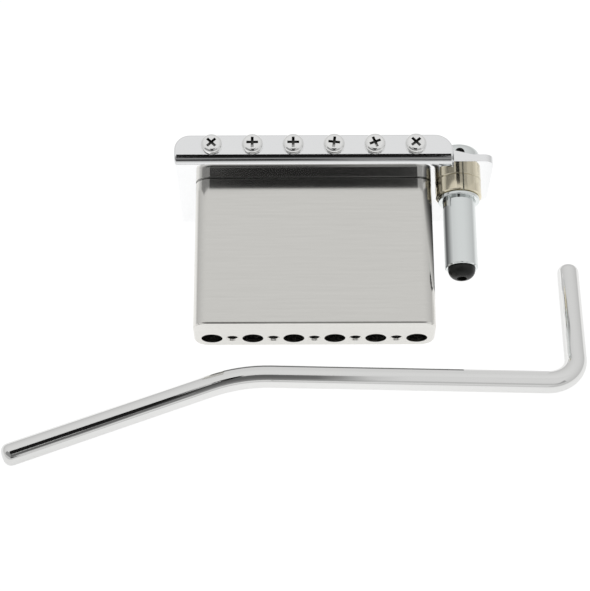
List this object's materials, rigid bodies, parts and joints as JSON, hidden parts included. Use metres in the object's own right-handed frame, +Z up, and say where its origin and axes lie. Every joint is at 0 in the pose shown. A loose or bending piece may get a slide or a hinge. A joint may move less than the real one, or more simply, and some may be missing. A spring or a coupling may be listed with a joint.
{
  "type": "guitar tremolo bridge",
  "caption": "Bent chrome guitar tremolo bridge lying on its front, with steel block, adjustable saddles, arm sleeve and a loose push-in arm",
  "frame": {"origin": "centre of the pivot-hole row on the plate's underside", "axes": "+X to the treble side along the string row, +Y across the table from the arm to the bridge, +Z up from the table; the bridge lies on the plate's front edge and the block's lower front edge, as pictured"},
  "size_m": [0.1473, 0.0876, 0.0384],
  "materials": {
    "chrome_plate": "polished chrome",
    "chrome_sleeve": "polished chrome",
    "chrome_arm": "polished chrome",
    "ground_steel": "ground satin",
    "chrome_screw": "polished chrome",
    "saddle_steel": "polished",
    "spring_steel": "drawn wire",
    "grub_steel": "plated",
    "black_oxide": "blackened steel",
    "nickel_collar": "nickel plated",
    "black_liner": "moulded"
  },
  "bodies": {
    "bridge": {"base_plate": "chrome_plate", "tremolo_block": "ground_steel", "block_screws": "grub_steel", "arm_sleeve": "chrome_sleeve", "sleeve_collar": "nickel_collar", "collar_ring": "chrome_sleeve", "arm_bush": "black_liner", "saddle_spring_1": "spring_steel", "saddle_spring_2": "spring_steel", "saddle_spring_3": "spring_steel", "saddle_spring_4": "spring_steel", "saddle_spring_5": "spring_steel", "saddle_spring_6": "spring_steel"},
    "tension_screw": {"tension_screw": "black_oxide"},
    "arm": {"tremolo_arm": "chrome_arm"},
    "intonation_screw_1": {"intonation_screw_1": "chrome_screw"},
    "saddle_1": {"saddle_1": "saddle_steel"},
    "height_screw_1_bass": {"height_screw_1_bass": "grub_steel"},
    "height_screw_1_treble": {"height_screw_1_treble": "grub_steel"},
    "intonation_screw_2": {"intonation_screw_2": "chrome_screw"},
    "saddle_2": {"saddle_2": "saddle_steel"},
    "height_screw_2_bass": {"height_screw_2_bass": "grub_steel"},
    "height_screw_2_treble": {"height_screw_2_treble": "grub_steel"},
    "intonation_screw_3": {"intonation_screw_3": "chrome_screw"},
    "saddle_3": {"saddle_3": "saddle_steel"},
    "height_screw_3_bass": {"height_screw_3_bass": "grub_steel"},
    "height_screw_3_treble": {"height_screw_3_treble": "grub_steel"},
    "intonation_screw_4": {"intonation_screw_4": "chrome_screw"},
    "saddle_4": {"saddle_4": "saddle_steel"},
    "height_screw_4_bass": {"height_screw_4_bass": "grub_steel"},
    "height_screw_4_treble": {"height_screw_4_treble": "grub_steel"},
    "intonation_screw_5": {"intonation_screw_5": "chrome_screw"},
    "saddle_5": {"saddle_5": "saddle_steel"},
    "height_screw_5_bass": {"height_screw_5_bass": "grub_steel"},
    "height_screw_5_treble": {"height_screw_5_treble": "grub_steel"},
    "intonation_screw_6": {"intonation_screw_6": "chrome_screw"},
    "saddle_6": {"saddle_6": "saddle_steel"},
    "height_screw_6_bass": {"height_screw_6_bass": "grub_steel"},
    "height_screw_6_treble": {"height_screw_6_treble": "grub_steel"}
  },
  "joints": [
    {"name": "intonation_spin_1", "type": "hinge", "parent": "bridge", "child": "intonation_screw_1", "pos_m": [-0.02625, -0.00479, 0.03132], "axis": [0, 0.3021, -0.9533], "range_deg": [-1805, 1805]},
    {"name": "saddle_slide_1", "type": "slide", "parent": "bridge", "child": "saddle_1", "axis": [0, -0.3021, 0.9533], "range_m": [-0.0025, 0.0025], "deforming": ["saddle_spring_1"]},
    {"name": "height_1_bass", "type": "slide", "parent": "saddle_1", "child": "height_screw_1_bass", "axis": [0, 0.9533, 0.3021], "range_m": [0, 0.0015]},
    {"name": "height_1_treble", "type": "slide", "parent": "saddle_1", "child": "height_screw_1_treble", "axis": [0, 0.9533, 0.3021], "range_m": [0, 0.0015]},
    {"name": "intonation_spin_2", "type": "hinge", "parent": "bridge", "child": "intonation_screw_2", "pos_m": [-0.01575, -0.00479, 0.03132], "axis": [0, 0.3021, -0.9533], "range_deg": [-1805, 1805]},
    {"name": "saddle_slide_2", "type": "slide", "parent": "bridge", "child": "saddle_2", "axis": [0, -0.3021, 0.9533], "range_m": [-0.0025, 0.0025], "deforming": ["saddle_spring_2"]},
    {"name": "height_2_bass", "type": "slide", "parent": "saddle_2", "child": "height_screw_2_bass", "axis": [0, 0.9533, 0.3021], "range_m": [0, 0.0015]},
    {"name": "height_2_treble", "type": "slide", "parent": "saddle_2", "child": "height_screw_2_treble", "axis": [0, 0.9533, 0.3021], "range_m": [0, 0.0015]},
    {"name": "intonation_spin_3", "type": "hinge", "parent": "bridge", "child": "intonation_screw_3", "pos_m": [-0.00525, -0.00479, 0.03132], "axis": [0, 0.3021, -0.9533], "range_deg": [-1805, 1805]},
    {"name": "saddle_slide_3", "type": "slide", "parent": "bridge", "child": "saddle_3", "axis": [0, -0.3021, 0.9533], "range_m": [-0.0025, 0.0025], "deforming": ["saddle_spring_3"]},
    {"name": "height_3_bass", "type": "slide", "parent": "saddle_3", "child": "height_screw_3_bass", "axis": [0, 0.9533, 0.3021], "range_m": [0, 0.0015]},
    {"name": "height_3_treble", "type": "slide", "parent": "saddle_3", "child": "height_screw_3_treble", "axis": [0, 0.9533, 0.3021], "range_m": [0, 0.0015]},
    {"name": "intonation_spin_4", "type": "hinge", "parent": "bridge", "child": "intonation_screw_4", "pos_m": [0.00525, -0.00479, 0.03132], "axis": [0, 0.3021, -0.9533], "range_deg": [-1805, 1805]},
    {"name": "saddle_slide_4", "type": "slide", "parent": "bridge", "child": "saddle_4", "axis": [0, -0.3021, 0.9533], "range_m": [-0.0025, 0.0025], "deforming": ["saddle_spring_4"]},
    {"name": "height_4_bass", "type": "slide", "parent": "saddle_4", "child": "height_screw_4_bass", "axis": [0, 0.9533, 0.3021], "range_m": [0, 0.0015]},
    {"name": "height_4_treble", "type": "slide", "parent": "saddle_4", "child": "height_screw_4_treble", "axis": [0, 0.9533, 0.3021], "range_m": [0, 0.0015]},
    {"name": "intonation_spin_5", "type": "hinge", "parent": "bridge", "child": "intonation_screw_5", "pos_m": [0.01575, -0.00479, 0.03132], "axis": [0, 0.3021, -0.9533], "range_deg": [-1805, 1805]},
    {"name": "saddle_slide_5", "type": "slide", "parent": "bridge", "child": "saddle_5", "axis": [0, -0.3021, 0.9533], "range_m": [-0.0025, 0.0025], "deforming": ["saddle_spring_5"]},
    {"name": "height_5_bass", "type": "slide", "parent": "saddle_5", "child": "height_screw_5_bass", "axis": [0, 0.9533, 0.3021], "range_m": [0, 0.0015]},
    {"name": "height_5_treble", "type": "slide", "parent": "saddle_5", "child": "height_screw_5_treble", "axis": [0, 0.9533, 0.3021], "range_m": [0, 0.0015]},
    {"name": "intonation_spin_6", "type": "hinge", "parent": "bridge", "child": "intonation_screw_6", "pos_m": [0.02625, -0.00479, 0.03132], "axis": [0, 0.3021, -0.9533], "range_deg": [-1805, 1805]},
    {"name": "saddle_slide_6", "type": "slide", "parent": "bridge", "child": "saddle_6", "axis": [0, -0.3021, 0.9533], "range_m": [-0.0025, 0.0025], "deforming": ["saddle_spring_6"]},
    {"name": "height_6_bass", "type": "slide", "parent": "saddle_6", "child": "height_screw_6_bass", "axis": [0, 0.9533, 0.3021], "range_m": [0, 0.0015]},
    {"name": "height_6_treble", "type": "slide", "parent": "saddle_6", "child": "height_screw_6_treble", "axis": [0, 0.9533, 0.3021], "range_m": [0, 0.0015]},
    {"name": "tension_back_off", "type": "slide", "parent": "bridge", "child": "tension_screw", "axis": [0.0436, -0.3018, 0.9524], "range_m": [0, 0.002]},
    {"name": "arm_swivel", "type": "hinge", "parent": "bridge", "child": "arm", "pos_m": [0.0663, -0.0565, -0.00209], "axis": [0.0297, 0.9996, 0], "range_deg": [0, 180]}
  ],
  "couplings": [
    {"joint": "intonation_spin_1", "follows": "saddle_slide_1", "rad_per_m": 12566},
    {"joint": "intonation_spin_2", "follows": "saddle_slide_2", "rad_per_m": 12566},
    {"joint": "intonation_spin_3", "follows": "saddle_slide_3", "rad_per_m": 12566},
    {"joint": "intonation_spin_4", "follows": "saddle_slide_4", "rad_per_m": 12566},
    {"joint": "intonation_spin_5", "follows": "saddle_slide_5", "rad_per_m": 12566},
    {"joint": "intonation_spin_6", "follows": "saddle_slide_6", "rad_per_m": 12566}
  ]
}
